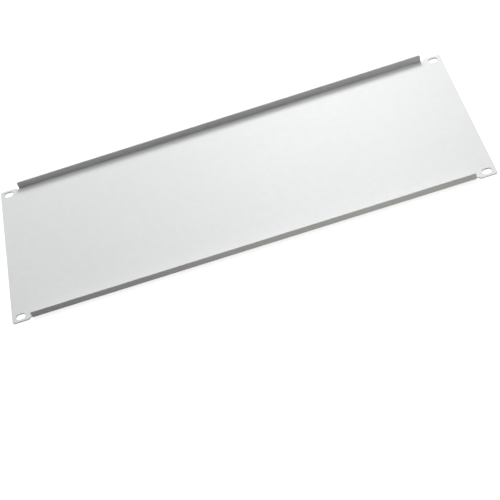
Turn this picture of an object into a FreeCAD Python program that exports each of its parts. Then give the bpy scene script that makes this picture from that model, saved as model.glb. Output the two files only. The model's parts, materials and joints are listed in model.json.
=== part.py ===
"""4U blanking panel for a 19-inch rack: one piece of folded steel sheet, built as a parametric document.

Frame: X runs along the panel's width and Y along its height. Z points from the front face, which
lies on z = 0, towards the rack. The origin is the centre of the front face.
"""
import FreeCAD, Part
import math
import os
import sys
from enum import IntEnum, auto

import Sketcher
from FreeCAD import Vector

# Driving dimensions, in millimetres and degrees: alias, value, what it is.
DRIVING_SIZES = (
    ("panel_width", 482.6, "over both ears: 19 inches"),
    ("panel_height", 177.0, "over the ears: 4 rack units, less the gap to the next panel"),
    ("sheet_thickness", 1.2, "steel sheet with its powder coat"),
    ("bend_inner_radius", 1.2, "inside each fold"),
    ("flange_depth", 9.4, "from the front face to the flange's free edge"),
    ("flange_inset", 0.2, "from the ear's edge in to the flange's outer face"),
    ("flange_corner_radius", 2.0, "free corners of each flange"),
    ("ear_length", 20.6, "from the panel's end to the flange's end"),
    ("ear_corner_radius", 2.5, "outer corners of the ears"),
    ("relief_width", 1.2, "flat bottom of the notch beside the flange's end"),
    ("relief_flare", 45.0, "slope of the notch's outer side, in degrees"),
    ("slot_length", 9.7, "along the width, over the round ends"),
    ("slot_height", 6.8, "across the slot"),
    ("slot_end_margin", 8.75, "from the panel's end to the slot's centre"),
    ("slot_edge_margin", 5.95, "from the ear's edge to the slot's centre"),
)

# Lengths and places that are worked out from the driving dimensions.
BEND_OUTER_RADIUS = "(Sizes.bend_inner_radius + Sizes.sheet_thickness)"
FLANGE_FACE_Y = "(Sizes.panel_height / 2 - Sizes.flange_inset)"
BEND_LINE_Y = f"({FLANGE_FACE_Y} - {BEND_OUTER_RADIUS})"
FLANGE_LENGTH = "(Sizes.panel_width - 2 * Sizes.ear_length)"
CUT_LENGTH = f"({FLANGE_LENGTH} + 2 * Sizes.relief_width)"
CUT_OUTER_Y = "(Sizes.panel_height / 2 + Sizes.sheet_thickness)"
SLOT_X = "(Sizes.panel_width / 2 - Sizes.slot_end_margin)"
SLOT_Y = "(Sizes.panel_height / 2 - Sizes.slot_edge_margin)"
SLOT_RADIUS = "(Sizes.slot_height / 2)"
SLOT_STRAIGHT = "(Sizes.slot_length - Sizes.slot_height)"

# Sketcher's numbers for a sketch's origin and axes.
ORIGIN = (-1, 1)
X_AXIS = -1
Y_AXIS = X_AXIS - 1

UP = Vector(0, 0, 1)
ALONG_HEIGHT = Vector(0, 1, 0)
SAME_PLACE = 1e-4


class Point(IntEnum):
    """Sketcher's numbers for the points of a line or an arc, which count from 1."""

    START = auto()
    END = auto()
    CENTRE = auto()


START, END, CENTRE = Point


def add_sheet(doc):
    """Write the driving dimensions into a spreadsheet, each with an alias."""
    sheet = doc.addObject("Spreadsheet::Sheet", "Sizes")
    for row, (alias, value, meaning) in enumerate(DRIVING_SIZES, 1):
        sheet.set(f"A{row}", alias)
        sheet.set(f"B{row}", str(value))
        sheet.set(f"C{row}", meaning)
        sheet.setAlias(f"B{row}", alias)
    doc.recompute()
    return sheet


def amount(expression):
    """Work out an expression on the sheet as a plain number."""
    return float(FreeCAD.ActiveDocument.Sizes.evalExpression(expression))


def origin_plane(body, role):
    """Return the body's own origin plane with this role, such as XY_Plane."""
    return next(item for item in body.Origin.OriginFeatures if item.Role == role)


def add_sketch(body, name, role):
    """Make an empty sketch that lies on one of the body's origin planes."""
    sketch = body.newObject("Sketcher::SketchObject", name)
    sketch.AttachmentSupport = [(origin_plane(body, role), "")]
    sketch.MapMode = "FlatFace"
    return sketch


def draw_line(sketch, start, end):
    """Draw a straight line between two points of a sketch."""
    return sketch.addGeometry(Part.LineSegment(Vector(*start, 0), Vector(*end, 0)), False)


def draw_arc(sketch, centre, radius, first_degrees, last_degrees):
    """Draw an arc that turns anticlockwise between two angles."""
    circle = Part.Circle(Vector(*centre, 0), UP, radius)
    arc = Part.ArcOfCircle(circle, math.radians(first_degrees), math.radians(last_degrees))
    return sketch.addGeometry(arc, False)


def draw_quadrilateral(sketch, corners):
    """Draw four straight lines round the corners, anticlockwise from the bottom, and join them."""
    lines = []
    for here, there in zip(corners, corners[1:] + corners[:1]):
        lines.append(draw_line(sketch, here, there))
    for line, following in zip(lines, lines[1:] + lines[:1]):
        hold(sketch, "Coincident", line, END, following, START)
    return lines


def hold(sketch, kind, *where):
    """Add a geometric constraint to a sketch."""
    sketch.addConstraint(Sketcher.Constraint(kind, *where))


def dimension(sketch, name, kind, *where, expression):
    """Add a named dimension to a sketch and bind it to an expression on the sheet."""
    value = amount(expression)
    if kind == "Angle":
        value = math.radians(value)
    index = sketch.addConstraint(Sketcher.Constraint(kind, *where, value))
    sketch.renameConstraint(index, name)
    sketch.setExpression(f"Constraints.{name}", expression)


def add_plate(body):
    """Pad the flat sheet to its full width and height."""
    x = amount("Sizes.panel_width / 2")
    y = amount("Sizes.panel_height / 2")
    sketch = add_sketch(body, "plate_outline", "XY_Plane")
    bottom, right, top, left = draw_quadrilateral(sketch, [(-x, -y), (x, -y), (x, y), (-x, y)])
    hold(sketch, "Horizontal", bottom)
    hold(sketch, "Horizontal", top)
    hold(sketch, "Vertical", right)
    hold(sketch, "Vertical", left)
    hold(sketch, "Symmetric", bottom, START, top, START, *ORIGIN)
    dimension(sketch, "width", "DistanceX", bottom, START, bottom, END, expression="Sizes.panel_width")
    dimension(sketch, "height", "DistanceY", right, START, right, END, expression="Sizes.panel_height")
    plate = body.newObject("PartDesign::Pad", "plate")
    plate.Profile = sketch
    plate.setExpression("Length", "Sizes.sheet_thickness")


def add_edge_cut(body):
    """Cut a long edge back to its bend line, which leaves the ears and a relief notch beside each."""
    x_inner = amount(CUT_LENGTH) / 2
    y_inner = amount(BEND_LINE_Y)
    y_outer = amount(CUT_OUTER_Y)
    x_outer = x_inner + (y_outer - y_inner) / math.tan(math.radians(amount("Sizes.relief_flare")))
    sketch = add_sketch(body, "edge_cut_outline", "XY_Plane")
    corners = [(-x_inner, y_inner), (x_inner, y_inner), (x_outer, y_outer), (-x_outer, y_outer)]
    bottom, right, top, _ = draw_quadrilateral(sketch, corners)
    hold(sketch, "Symmetric", bottom, START, bottom, END, Y_AXIS)
    hold(sketch, "Symmetric", top, START, top, END, Y_AXIS)
    dimension(sketch, "length", "DistanceX", bottom, START, bottom, END, expression=CUT_LENGTH)
    dimension(sketch, "bend_line", "DistanceY", *ORIGIN, bottom, START, expression=BEND_LINE_Y)
    dimension(sketch, "past_edge", "DistanceY", *ORIGIN, top, START, expression=CUT_OUTER_Y)
    dimension(sketch, "flare", "Angle", right, expression="Sizes.relief_flare")
    return add_through_cut(body, "edge_cut", sketch)


def add_through_cut(body, name, sketch):
    """Cut a sketch on the front face right through the sheet."""
    cut = body.newObject("PartDesign::Pocket", name)
    cut.Profile = sketch
    cut.Type = "ThroughAll"
    cut.Reversed = True
    return cut


def add_flange(body):
    """Pad one fold and its flange: a quarter bend from the plate, then a straight wall."""
    y_bend = amount(BEND_LINE_Y)
    z_bend = amount(BEND_OUTER_RADIUS)
    thickness = amount("Sizes.sheet_thickness")
    y_outer = amount(FLANGE_FACE_Y)
    y_inner = y_outer - thickness
    z_free = amount("Sizes.flange_depth")
    sketch = add_sketch(body, "flange_section", "YZ_Plane")
    outer_bend = draw_arc(sketch, (y_bend, z_bend), z_bend, 270, 360)
    outer_wall = draw_line(sketch, (y_outer, z_bend), (y_outer, z_free))
    free_edge = draw_line(sketch, (y_outer, z_free), (y_inner, z_free))
    inner_wall = draw_line(sketch, (y_inner, z_free), (y_inner, z_bend))
    inner_bend = draw_arc(sketch, (y_bend, z_bend), z_bend - thickness, 270, 360)
    root = draw_line(sketch, (y_bend, thickness), (y_bend, 0))
    hold(sketch, "Tangent", outer_bend, END, outer_wall, START)
    hold(sketch, "Coincident", outer_wall, END, free_edge, START)
    hold(sketch, "Coincident", free_edge, END, inner_wall, START)
    hold(sketch, "Tangent", inner_wall, END, inner_bend, END)
    hold(sketch, "Coincident", inner_bend, START, root, START)
    hold(sketch, "Coincident", root, END, outer_bend, START)
    hold(sketch, "Coincident", inner_bend, CENTRE, outer_bend, CENTRE)
    hold(sketch, "Vertical", outer_wall)
    hold(sketch, "Vertical", inner_wall)
    hold(sketch, "Vertical", root)
    hold(sketch, "Horizontal", free_edge)
    hold(sketch, "PointOnObject", root, END, X_AXIS)
    hold(sketch, "Vertical", outer_bend, CENTRE, root, END)
    dimension(sketch, "inner_radius", "Radius", inner_bend, expression="Sizes.bend_inner_radius")
    dimension(sketch, "thickness", "DistanceX", free_edge, END, free_edge, START,
              expression="Sizes.sheet_thickness")
    dimension(sketch, "face", "DistanceX", *ORIGIN, free_edge, START, expression=FLANGE_FACE_Y)
    dimension(sketch, "depth", "DistanceY", *ORIGIN, free_edge, START,
              expression="Sizes.flange_depth")
    flange = body.newObject("PartDesign::Pad", "flange")
    flange.Profile = sketch
    flange.Midplane = True
    flange.setExpression("Length", FLANGE_LENGTH)
    return flange


def draw_slot(sketch, side):
    """Draw one screw slot, level and round-ended, in the left (-1) or right (1) ear."""
    x_middle = side * amount(SLOT_X)
    y = amount(SLOT_Y)
    radius = amount(SLOT_RADIUS)
    half_straight = amount(SLOT_STRAIGHT) / 2
    x_left = x_middle - half_straight
    x_right = x_middle + half_straight
    left_end = draw_arc(sketch, (x_left, y), radius, 90, 270)
    bottom = draw_line(sketch, (x_left, y - radius), (x_right, y - radius))
    right_end = draw_arc(sketch, (x_right, y), radius, -90, 90)
    top = draw_line(sketch, (x_right, y + radius), (x_left, y + radius))
    hold(sketch, "Tangent", left_end, END, bottom, START)
    hold(sketch, "Tangent", bottom, END, right_end, START)
    hold(sketch, "Tangent", right_end, END, top, START)
    hold(sketch, "Tangent", top, END, left_end, START)
    hold(sketch, "Equal", left_end, right_end)
    hold(sketch, "Horizontal", top)
    label = "left" if side < 0 else "right"
    dimension(sketch, f"{label}_radius", "Radius", left_end, expression=SLOT_RADIUS)
    dimension(sketch, f"{label}_straight", "DistanceX", left_end, CENTRE, right_end, CENTRE,
              expression=SLOT_STRAIGHT)
    if side < 0:
        place = (left_end, CENTRE, *ORIGIN)
    else:
        place = (*ORIGIN, right_end, CENTRE)
    dimension(sketch, f"{label}_place", "DistanceX", *place,
              expression=f"{SLOT_X} + {SLOT_STRAIGHT} / 2")
    dimension(sketch, f"{label}_row", "DistanceY", *ORIGIN, left_end, CENTRE, expression=SLOT_Y)


def add_slots(body):
    """Cut the screw slots beside one long edge, one in each ear."""
    sketch = add_sketch(body, "slot_outlines", "XY_Plane")
    for side in (-1, 1):
        draw_slot(sketch, side)
    return add_through_cut(body, "slots", sketch)


def mirror_to_other_edge(body, features):
    """Repeat features on the other long edge, by a mirror in the XZ plane."""
    mirror = body.newObject("PartDesign::Mirrored", "other_long_edge")
    mirror.Originals = features
    mirror.MirrorPlane = (origin_plane(body, "XZ_Plane"), [""])
    body.Tip = mirror
    return mirror


def edges_at(shape, direction, x=None, y=None, z=None):
    """Name the straight edges along a direction whose middle lies this far out on each given axis."""
    names = []
    for number, edge in enumerate(shape.Edges, 1):
        if not isinstance(edge.Curve, Part.Line):
            continue
        if abs(edge.Curve.Direction.dot(direction)) < 1 - SAME_PLACE:
            continue
        middle = edge.CenterOfMass
        wanted = [(middle.x, x), (middle.y, y), (middle.z, z)]
        if all(want is None or abs(abs(value) - want) < SAME_PLACE for value, want in wanted):
            names.append(f"Edge{number}")
    return names


def add_fillet(body, name, base, edges, expression):
    """Round the four corners that these edges stand for."""
    if len(edges) != 4:
        sys.exit(f"{name}: found {len(edges)} edges to round, not 4")
    fillet = body.newObject("PartDesign::Fillet", name)
    fillet.Base = (base, edges)
    fillet.setExpression("Radius", expression)
    body.Tip = fillet
    return fillet


def round_corners(doc, body, base):
    """Round the outer corners of the ears, then the free corners of the flanges."""
    doc.recompute()
    corners = edges_at(base.Shape, UP, x=amount("Sizes.panel_width / 2"),
                       y=amount("Sizes.panel_height / 2"))
    ears = add_fillet(body, "ear_corners", base, corners, "Sizes.ear_corner_radius")
    doc.recompute()
    corners = edges_at(ears.Shape, ALONG_HEIGHT, x=amount(FLANGE_LENGTH) / 2,
                       z=amount("Sizes.flange_depth"))
    add_fillet(body, "flange_corners", ears, corners, "Sizes.flange_corner_radius")


def add_panel(doc):
    """Build the whole folded panel as one body."""
    body = doc.addObject("PartDesign::Body", "panel")
    body.Label = "panel"
    add_plate(body)
    one_edge = [add_edge_cut(body), add_flange(body), add_slots(body)]
    doc.recompute()
    both_edges = mirror_to_other_edge(body, one_edge)
    round_corners(doc, body, both_edges)
    doc.recompute()
    return body


def check_document(doc, body):
    """Stop if a feature failed, or if the body isn't one valid solid."""
    for item in doc.Objects:
        if {"Invalid", "Error"} & set(item.State):
            sys.exit(f"{item.Name} failed: {item.State}")
    shape = body.Shape
    if shape.isNull() or not shape.isValid() or len(shape.Solids) != 1:
        sys.exit(f"{body.Label} isn't one valid solid")


def main():
    """Build the document, check it and write the panel's STEP file."""
    doc = FreeCAD.newDocument("rack_blanking_panel")
    add_sheet(doc)
    panel = add_panel(doc)
    check_document(doc, panel)
    os.makedirs("parts", exist_ok=True)
    panel.Shape.exportStep(os.path.join("parts", f"{panel.Label}.step"))
    box = panel.Shape.BoundBox
    print(f"{panel.Label}: {box.XLength:.2f} x {box.YLength:.2f} x {box.ZLength:.2f} mm,"
          f" volume {panel.Shape.Volume:.0f} mm3, {len(panel.Shape.Faces)} faces")


main()
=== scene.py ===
"""Looks of the folded 4U rack blanking panel: the powder-coated sheet, the studio and the camera.

Every length is in metres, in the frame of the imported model: X along the panel's width, Y along its
height, Z from the front face, which lies on the floor, up to the free edges of the two flanges.
"""
import json
import logging
import math
from dataclasses import dataclass, field
from enum import Enum, IntEnum
from typing import Any, Iterable, Union

import bmesh
import bpy
from mathutils import Matrix, Vector


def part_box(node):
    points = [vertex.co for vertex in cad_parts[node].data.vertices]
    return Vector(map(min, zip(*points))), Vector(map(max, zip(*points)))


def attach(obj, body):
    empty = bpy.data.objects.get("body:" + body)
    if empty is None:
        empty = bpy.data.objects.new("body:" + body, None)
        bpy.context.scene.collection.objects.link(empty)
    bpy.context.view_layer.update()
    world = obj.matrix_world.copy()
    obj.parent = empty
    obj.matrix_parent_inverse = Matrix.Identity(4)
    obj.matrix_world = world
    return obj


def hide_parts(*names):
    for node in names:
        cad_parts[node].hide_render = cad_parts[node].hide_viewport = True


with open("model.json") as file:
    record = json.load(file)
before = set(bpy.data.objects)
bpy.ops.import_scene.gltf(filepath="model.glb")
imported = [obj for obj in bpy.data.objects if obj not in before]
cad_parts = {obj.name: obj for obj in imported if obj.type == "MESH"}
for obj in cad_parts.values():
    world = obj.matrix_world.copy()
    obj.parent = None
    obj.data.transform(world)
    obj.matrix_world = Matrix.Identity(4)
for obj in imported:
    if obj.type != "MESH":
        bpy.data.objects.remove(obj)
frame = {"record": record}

LOG = logging.getLogger("blanking_panel")
MM = 0.001
SAME_PLACE = 1e-7
NOISE_MIDDLE = 0.5
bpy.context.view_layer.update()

Colour = tuple[float, float, float]
Value = Union[float, "Signal"]
BLACK: Colour = (0.0, 0.0, 0.0)
WHITE: Colour = (1.0, 1.0, 1.0)
COOL: Colour = (0.993, 1.0, 1.0)
WARM: Colour = (1.0, 0.98, 0.9)


class Side(Enum):
    """The axis that a quarter of the panel is mirrored along."""

    WIDTH = "X"
    HEIGHT = "Y"


class MixSocket(IntEnum):
    """The numbers of a Mix node's colour sockets."""

    FACTOR = 0
    FIRST = 6
    SECOND = 7
    RESULT = 2


# ---------------------------------------------------------------- shader maths


@dataclass(frozen=True)
class Signal:
    """One output socket of a node tree, which takes part in sums and products."""

    web: "NodeWeb"
    socket: bpy.types.NodeSocket

    def __add__(self, other: Value) -> "Signal":
        """Return this signal plus another value."""
        return self.web.maths("ADD", self, other)

    def __sub__(self, other: Value) -> "Signal":
        """Return this signal less another value."""
        return self.web.maths("SUBTRACT", self, other)

    def __rsub__(self, other: Value) -> "Signal":
        """Return another value less this signal."""
        return self.web.maths("SUBTRACT", other, self)

    def __mul__(self, other: Value) -> "Signal":
        """Return this signal times another value."""
        return self.web.maths("MULTIPLY", self, other)

    __radd__ = __add__
    __rmul__ = __mul__


@dataclass(frozen=True)
class NodeWeb:
    """A node tree that is filled by calls of one method."""

    tree: bpy.types.NodeTree

    def node(self, kind: str, settings: dict[str, Any], sockets: dict[Any, Any]) -> bpy.types.Node:
        """Add a node, set it up and feed its sockets.

        Args:
            kind: The node's type, such as ShaderNodeTexNoise.
            settings: The node's own properties, which are set first.
            sockets: A value, a Signal or an output socket for each input, by name or number.

        Returns:
            The new node.
        """
        made = self.tree.nodes.new(kind)
        for name, setting in settings.items():
            setattr(made, name, setting)
        for key, value in sockets.items():
            source = value.socket if isinstance(value, Signal) else value
            if isinstance(source, bpy.types.NodeSocket):
                self.tree.links.new(source, made.inputs[key])
            else:
                made.inputs[key].default_value = source
        return made

    def maths(self, operation: str, *values: Value) -> Signal:
        """Join values by one Math node.

        Args:
            operation: The node's operation, such as ADD.
            values: What it works on, in order.

        Returns:
            The result.
        """
        made = self.node("ShaderNodeMath", {"operation": operation}, dict(enumerate(values)))
        return Signal(self, made.outputs[0])

    def mixed(self, factor: Value, first: Any, second: Any) -> bpy.types.NodeSocket:
        """Mix two colours.

        Args:
            factor: How much of the second colour shows, from 0 to 1.
            first: The colour at 0.
            second: The colour at 1.

        Returns:
            The socket of the mixed colour.
        """
        sockets = {MixSocket.FACTOR: factor, MixSocket.FIRST: first, MixSocket.SECOND: second}
        made = self.node("ShaderNodeMix", {"data_type": "RGBA"}, sockets)
        return made.outputs[MixSocket.RESULT]


def opaque(colour: Colour) -> tuple[float, float, float, float]:
    """Return a colour with full alpha."""
    return (*colour, 1.0)


def new_material(name: str) -> tuple[bpy.types.Material, NodeWeb]:
    """Make an empty material that uses nodes.

    Args:
        name: The material's name.

    Returns:
        The material and the web that fills its tree.
    """
    material = bpy.data.materials.new(name)
    material.use_nodes = True
    material.node_tree.nodes.clear()
    return material, NodeWeb(material.node_tree)


# ---------------------------------------------------------------- finishes


@dataclass(frozen=True)
class PowderCoat:
    """Light-grey powder coat, baked on steel: satin, with a fine orange peel.

    The peel is two noises: long low waves and a fine grain on them. The coat's shade
    darkens a little with the grain and with blotches as wide as a finger or a hand.
    """

    name: str = "light_grey_powder_coat"
    colour: Colour = (0.714, 0.716, 0.716)
    cloud_colour: Colour = (0.694, 0.698, 0.7)
    cloud_size: float = 70 * MM
    roughness: float = 0.46
    roughness_swing: float = 0.05
    wave_size: float = 1.6 * MM
    wave_height: float = 0.006 * MM
    grain_size: float = 0.45 * MM
    grain_height: float = 0.004 * MM
    fleck_shade: float = 0.06
    mottle_size: float = 7 * MM
    mottle_shade: float = 0.06
    ior: float = 1.5

    @staticmethod
    def noise(web: NodeWeb, place: Any, size: float, detail: float) -> Signal:
        """Add a noise pattern.

        Args:
            web: The material's node web.
            place: The coordinates that it follows.
            size: The width of one blotch.
            detail: The number of finer layers.

        Returns:
            The noise, from about 0.25 to 0.75, with its middle at 0.5.
        """
        made = web.node("ShaderNodeTexNoise", {"noise_dimensions": "3D"},
                        {"Vector": place, "Scale": 1 / size, "Detail": detail})
        return Signal(web, made.outputs["Fac"])

    def make(self) -> bpy.types.Material:
        """Build the material."""
        material, web = new_material(self.name)
        place = web.node("ShaderNodeTexCoord", {}, {}).outputs["Object"]
        cloud = self.noise(web, place, self.cloud_size, detail=2.0)
        mottle = self.noise(web, place, self.mottle_size, detail=2.0)
        wave = self.noise(web, place, self.wave_size, detail=1.0)
        grain = self.noise(web, place, self.grain_size, detail=2.0)
        clear = web.mixed(cloud, opaque(self.colour), opaque(self.cloud_colour))
        shade = grain * self.fleck_shade + mottle * self.mottle_shade
        colour = web.mixed(shade, clear, opaque(BLACK))
        rough = self.roughness + self.roughness_swing * (grain - NOISE_MIDDLE)
        height = wave * self.wave_height + grain * self.grain_height
        bump = web.node("ShaderNodeBump", {}, {"Strength": 1.0, "Distance": 1.0, "Height": height})
        shader = web.node("ShaderNodeBsdfPrincipled", {}, {
            "Base Color": colour,
            "Roughness": rough,
            "IOR": self.ior,
            "Normal": bump.outputs["Normal"],
        })
        web.node("ShaderNodeOutputMaterial", {}, {"Surface": shader.outputs["BSDF"]})
        return material


@dataclass(frozen=True)
class FloorPaint:
    """Matt floor, which the camera and mirrors see lifted to white. It still takes shadows."""

    name: str = "studio_floor"
    colour: Colour = (0.36, 0.36, 0.36)
    lift: float = 0.85

    def make(self) -> bpy.types.Material:
        """Build the material."""
        material, web = new_material(self.name)
        matt = web.node("ShaderNodeBsdfDiffuse", {}, {"Color": opaque(self.colour)})
        glow = web.node("ShaderNodeEmission", {}, {"Strength": seen_directly(web) * self.lift})
        both = web.node("ShaderNodeAddShader", {}, {0: matt.outputs[0], 1: glow.outputs[0]})
        web.node("ShaderNodeOutputMaterial", {}, {"Surface": both.outputs[0]})
        return material


def seen_directly(web: NodeWeb) -> Signal:
    """Return 1 where the camera looks, by itself, in a gloss or through glass, and 0 elsewhere."""
    path = web.node("ShaderNodeLightPath", {}, {}).outputs
    camera = Signal(web, path["Is Camera Ray"])
    gloss = Signal(web, path["Is Glossy Ray"])
    glass = Signal(web, path["Is Transmission Ray"])
    return web.maths("MINIMUM", camera + gloss + glass, 1.0)


# ---------------------------------------------------------------- the folded sheet


@dataclass
class FoldedPanel:
    """The panel: one sheet with two ears at each end and a flange along each long edge.

    A quarter of the outer skin is drawn flat, folded and mirrored twice, and only then
    gets its thickness and its rounded, coated edges.
    """

    width: float
    height: float
    depth: float
    slot_pitch_x: float
    slot_pitch_y: float
    slot_length: float
    slot_height: float
    thickness: float = 1.2 * MM
    bend_inner_radius: float = 1.2 * MM
    flange_inset: float = 0.2 * MM
    flange_corner_radius: float = 2.0 * MM
    ear_length: float = 20.6 * MM
    ear_corner_radius: float = 2.5 * MM
    relief_width: float = 1.2 * MM
    relief_flare_deg: float = 45.0
    punched_corner: float = 0.2 * MM
    coated_edge: float = 0.1 * MM
    rim_angle_deg: float = 80.0
    corner_steps: int = 8
    fold_steps: int = 14
    slot_end_steps: int = 20
    edge_steps: int = 3
    skin: bmesh.types.BMesh = field(default_factory=bmesh.new)

    @classmethod
    def from_frame(cls, record: dict[str, Any], node: str) -> "FoldedPanel":
        """Take the panel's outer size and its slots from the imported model.

        Args:
            record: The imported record.
            node: The name of the panel's node.

        Returns:
            A panel of that size.
        """
        low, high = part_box(node)
        mount = next(m for m in record["mounts"] if m["kind"] == "bolt_pattern")
        dims = mount["dims"]
        return cls(
            width=high.x - low.x,
            height=high.y - low.y,
            depth=high.z - low.z,
            slot_pitch_x=dims["spacing_x_mm"] * MM,
            slot_pitch_y=dims["spacing_y_mm"] * MM,
            slot_length=dims["slot_length_mm"] * MM,
            slot_height=2 * dims["hole_r_mm"] * MM,
        )

    @property
    def bend_outer_radius(self) -> float:
        """Return the radius of the fold's outside."""
        return self.bend_inner_radius + self.thickness

    @property
    def bend_line(self) -> float:
        """Return how far from the middle the fold begins."""
        return self.height / 2 - self.flange_inset - self.bend_outer_radius

    @property
    def flange_end(self) -> float:
        """Return how far from the middle the flange ends."""
        return self.width / 2 - self.ear_length

    def draw_slot(self) -> None:
        """Draw the slot of this quarter as a ring of edges: two half turns and two straights."""
        radius = self.slot_height / 2
        straight = self.slot_length - self.slot_height
        x_right = self.slot_pitch_x / 2 + straight / 2
        y = self.slot_pitch_y / 2
        first = self.skin.verts.new((x_right, y - radius, 0))
        top_right = self.turn_vertex(first, (x_right, y, 0))
        moved = bmesh.ops.extrude_vert_indiv(self.skin, verts=[top_right])["verts"]
        bmesh.ops.translate(self.skin, verts=moved, vec=(-straight, 0, 0))
        last = self.turn_vertex(moved[0], (x_right - straight, y, 0))
        self.skin.edges.new((last, first))

    def turn_vertex(self, vertex: bmesh.types.BMVert,
                    centre: Iterable[float]) -> bmesh.types.BMVert:
        """Draw half a turn from a vertex.

        Args:
            vertex: Where the arc starts.
            centre: The middle of the turn.

        Returns:
            The vertex where the arc ends.
        """
        arc = bmesh.ops.spin(self.skin, geom=[vertex], cent=centre, axis=(0, 0, 1), angle=math.pi,
                             steps=self.slot_end_steps, use_merge=False)
        return next(item for item in arc["geom_last"] if isinstance(item, bmesh.types.BMVert))

    def draw_ear(self) -> None:
        """Fill the ear of this quarter, from the flange's end outwards, round its slot."""
        x_notch = self.flange_end + self.relief_width
        rise = self.height / 2 - self.bend_line
        x_flare = x_notch + rise / math.tan(math.radians(self.relief_flare_deg))
        outline = [
            (self.flange_end, 0),
            (self.width / 2, 0),
            (self.width / 2, self.height / 2),
            (x_flare, self.height / 2),
            (x_notch, self.bend_line),
            (self.flange_end, self.bend_line),
        ]
        corners = [self.skin.verts.new((x, y, 0)) for x, y in outline]
        face = self.skin.faces.new(corners)
        self.round_vertices([corners[2]], self.ear_corner_radius)
        self.round_vertices(corners[3:5], self.punched_corner)
        bmesh.ops.delete(self.skin, geom=self.skin.faces[:], context="FACES_ONLY")
        self.draw_slot()
        bmesh.ops.triangle_fill(self.skin, use_beauty=True, edges=self.skin.edges[:])

    def round_vertices(self, vertices: list[bmesh.types.BMVert], reach: float) -> None:
        """Round flat corners by an arc that starts at this reach along each side."""
        bmesh.ops.bevel(self.skin, geom=vertices, offset=reach, offset_type="OFFSET",
                        segments=self.corner_steps, profile=0.5, affect="VERTICES", material=-1)

    def draw_web(self) -> bmesh.types.BMEdge:
        """Fill the plate of this quarter as far as the fold.

        Returns:
            The edge on the fold's start.
        """
        corners = [self.skin.verts.new(place) for place in (
            (0, 0, 0),
            (self.flange_end, 0, 0),
            (self.flange_end, self.bend_line, 0),
            (0, self.bend_line, 0),
        )]
        self.skin.faces.new(corners)
        return self.skin.edges.get((corners[2], corners[3]))

    def fold_flange(self, start: bmesh.types.BMEdge) -> None:
        """Fold the sheet up from this edge and round the flange's free corner."""
        axis = (0, self.bend_line, self.bend_outer_radius)
        fold = bmesh.ops.spin(self.skin, geom=[start], cent=axis, axis=(1, 0, 0),
                              angle=math.pi / 2, steps=self.fold_steps, use_merge=False)
        top = [item for item in fold["geom_last"] if isinstance(item, bmesh.types.BMEdge)]
        wall = bmesh.ops.extrude_edge_only(self.skin, edges=top)["geom"]
        free = [item for item in wall if isinstance(item, bmesh.types.BMVert)]
        bmesh.ops.translate(self.skin, verts=free, vec=(0, 0, self.depth - self.bend_outer_radius))
        corner = max(free, key=lambda vertex: vertex.co.x)
        self.round_vertices([corner], self.flange_corner_radius)

    def mirror(self, side: Side) -> None:
        """Mirror the skin and join the two halves."""
        everything = self.skin.verts[:] + self.skin.edges[:] + self.skin.faces[:]
        bmesh.ops.mirror(self.skin, geom=everything, matrix=Matrix.Identity(4),
                         merge_dist=SAME_PLACE, axis=side.value)
        bmesh.ops.remove_doubles(self.skin, verts=self.skin.verts[:], dist=SAME_PLACE)

    def thicken(self) -> None:
        """Turn the skin's faces outwards and give the sheet its thickness, inwards."""
        bmesh.ops.recalc_face_normals(self.skin, faces=self.skin.faces[:])
        plate = max(self.skin.faces, key=lambda face: face.calc_area())
        if plate.normal.z > 0:
            bmesh.ops.reverse_faces(self.skin, faces=self.skin.faces[:])
        bmesh.ops.solidify(self.skin, geom=self.skin.faces[:], thickness=self.thickness)
        bmesh.ops.recalc_face_normals(self.skin, faces=self.skin.faces[:])

    def round_edges(self) -> None:
        """Round the sheet's cut edges, which the coat covers."""
        square = math.radians(self.rim_angle_deg)
        rims = [edge for edge in self.skin.edges
                if edge.is_convex and edge.calc_face_angle(0) > square]
        bmesh.ops.bevel(self.skin, geom=rims, offset=self.coated_edge, offset_type="OFFSET",
                        segments=self.edge_steps, profile=0.5, affect="EDGES", material=-1)

    def keep_on_floor(self) -> None:
        """Bring back the few points that the rounding moves past the front face."""
        for vertex in self.skin.verts:
            vertex.co.z = max(vertex.co.z, 0.0)

    def make(self, name: str, finish: PowderCoat) -> bpy.types.Object:
        """Build the panel and dress it.

        Args:
            name: The object's name.
            finish: The coat.

        Returns:
            The panel, in its place.
        """
        self.draw_ear()
        self.fold_flange(self.draw_web())
        for side in Side:
            self.mirror(side)
        self.thicken()
        self.round_edges()
        self.keep_on_floor()
        for face in self.skin.faces:
            face.smooth = True
        mesh = bpy.data.meshes.new(name)
        self.skin.to_mesh(mesh)
        mesh.materials.append(finish.make())
        panel = bpy.data.objects.new(name, mesh)
        bpy.context.scene.collection.objects.link(panel)
        weighted = panel.modifiers.new("flat_faces_stay_flat", "WEIGHTED_NORMAL")
        weighted.mode = "FACE_AREA"
        return panel


# ---------------------------------------------------------------- studio


@dataclass(frozen=True)
class SoftBox:
    """A rectangular soft light that points at the middle of the panel."""

    name: str
    azimuth_deg: float
    elevation_deg: float
    distance: float
    width: float
    height: float
    watts: float
    colour: Colour = WHITE

    def make(self) -> None:
        """Hang the light in its place."""
        light = bpy.data.lights.new(self.name, "AREA")
        light.shape = "RECTANGLE"
        light.size = self.width
        light.size_y = self.height
        light.energy = self.watts
        light.color = self.colour
        lamp = bpy.data.objects.new(self.name, light)
        out = direction(self.azimuth_deg, self.elevation_deg)
        lamp.location = out * self.distance
        lamp.rotation_euler = out.to_track_quat("Z", "Y").to_euler()
        bpy.context.scene.collection.objects.link(lamp)


def direction(azimuth_deg: float, elevation_deg: float) -> Vector:
    """Return a unit vector; azimuth 0 points along +Y and turns towards +X."""
    azimuth = math.radians(azimuth_deg)
    elevation = math.radians(elevation_deg)
    level = math.cos(elevation)
    return Vector((level * math.sin(azimuth), level * math.cos(azimuth), math.sin(elevation)))


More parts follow.
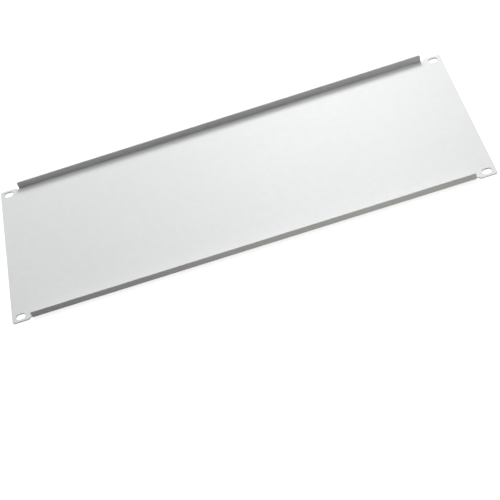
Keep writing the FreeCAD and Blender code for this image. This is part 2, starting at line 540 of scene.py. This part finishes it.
@dataclass(frozen=True)
class Tripod:
    """The camera: where it aims on the floor and how it stands to that point."""

    aim_x: float = -0.0068
    aim_y: float = -0.4943
    azimuth_deg: float = -3.355
    elevation_deg: float = 50.11
    roll_deg: float = -19.91
    distance: float = 1.0721
    lens_mm: float = 81.269

    def make(self, width: float, height: float) -> None:
        """Stand the camera in its place.

        Args:
            width: The panel's width, of which aim_x is a share from the middle.
            height: The panel's height, of which aim_y is a share from the middle.
        """
        aim = Vector((self.aim_x * width, self.aim_y * height, 0))
        ahead = direction(self.azimuth_deg, -self.elevation_deg)
        level = ahead.cross(Vector((0, 0, 1))).normalized()
        upright = level.cross(ahead)
        roll = math.radians(self.roll_deg)
        right = level * math.cos(roll) + upright * math.sin(roll)
        up = upright * math.cos(roll) - level * math.sin(roll)
        data = bpy.data.cameras.new("tripod")
        data.lens = self.lens_mm
        camera = bpy.data.objects.new("tripod", data)
        turn = Matrix((right, up, -ahead)).transposed().to_4x4()
        camera.matrix_world = Matrix.Translation(aim - ahead * self.distance) @ turn
        bpy.context.scene.collection.objects.link(camera)
        bpy.context.scene.camera = camera


@dataclass(frozen=True)
class Studio:
    """The floor, the white background and the soft lights."""

    floor_side: float = 3.0
    floor_gap: float = 0.2 * MM
    lights: tuple[SoftBox, ...] = (
        SoftBox("overhead_light", azimuth_deg=12, elevation_deg=60, distance=2.5, width=3.0,
                height=3.0, watts=32, colour=COOL),
        SoftBox("top_light", azimuth_deg=0, elevation_deg=80, distance=2.0, width=0.8,
                height=0.8, watts=12, colour=COOL),
        SoftBox("back_light", azimuth_deg=13, elevation_deg=46, distance=1.4, width=0.5,
                height=0.5, watts=10.9, colour=COOL),
        SoftBox("right_strip", azimuth_deg=100, elevation_deg=1, distance=0.5, width=0.15,
                height=0.012, watts=0.27, colour=WARM),
        SoftBox("front_strip", azimuth_deg=160, elevation_deg=0.96, distance=0.45, width=0.12,
                height=0.012, watts=0.34, colour=WARM),
    )

    def lay_floor(self) -> None:
        """Lay the floor just under the panel."""
        mesh = bpy.data.meshes.new("floor")
        shape = bmesh.new()
        bmesh.ops.create_grid(shape, x_segments=1, y_segments=1, size=self.floor_side / 2)
        bmesh.ops.translate(shape, verts=shape.verts[:], vec=(0, 0, -self.floor_gap))
        shape.to_mesh(mesh)
        shape.free()
        mesh.materials.append(FloorPaint().make())
        floor = bpy.data.objects.new("floor", mesh)
        bpy.context.scene.collection.objects.link(floor)

    @staticmethod
    def hang_background() -> None:
        """Show white all round the object, without lighting it."""
        world = bpy.data.worlds.new("studio")
        world.use_nodes = True
        world.node_tree.nodes.clear()
        web = NodeWeb(world.node_tree)
        white = web.node("ShaderNodeBackground", {}, {
            "Color": opaque(WHITE),
            "Strength": seen_directly(web),
        })
        web.node("ShaderNodeOutputWorld", {}, {"Surface": white.outputs[0]})
        bpy.context.scene.world = world

    def make(self) -> None:
        """Set the studio up."""
        self.lay_floor()
        self.hang_background()
        for light in self.lights:
            light.make()
        bpy.context.scene.view_settings.view_transform = "Standard"


# ---------------------------------------------------------------- the scene


def main() -> None:
    """Build the panel, the studio and the camera."""
    logging.basicConfig(level=logging.INFO, format="%(name)s: %(message)s")
    sheet = FoldedPanel.from_frame(frame["record"], "panel")
    panel = sheet.make("folded_panel", PowderCoat())
    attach(panel, "root")
    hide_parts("panel")
    LOG.info("%s: %d faces", panel.name, len(panel.data.polygons))
    Studio().make()
    Tripod().make(sheet.width, sheet.height)


if __name__ == "__main__":
    main()
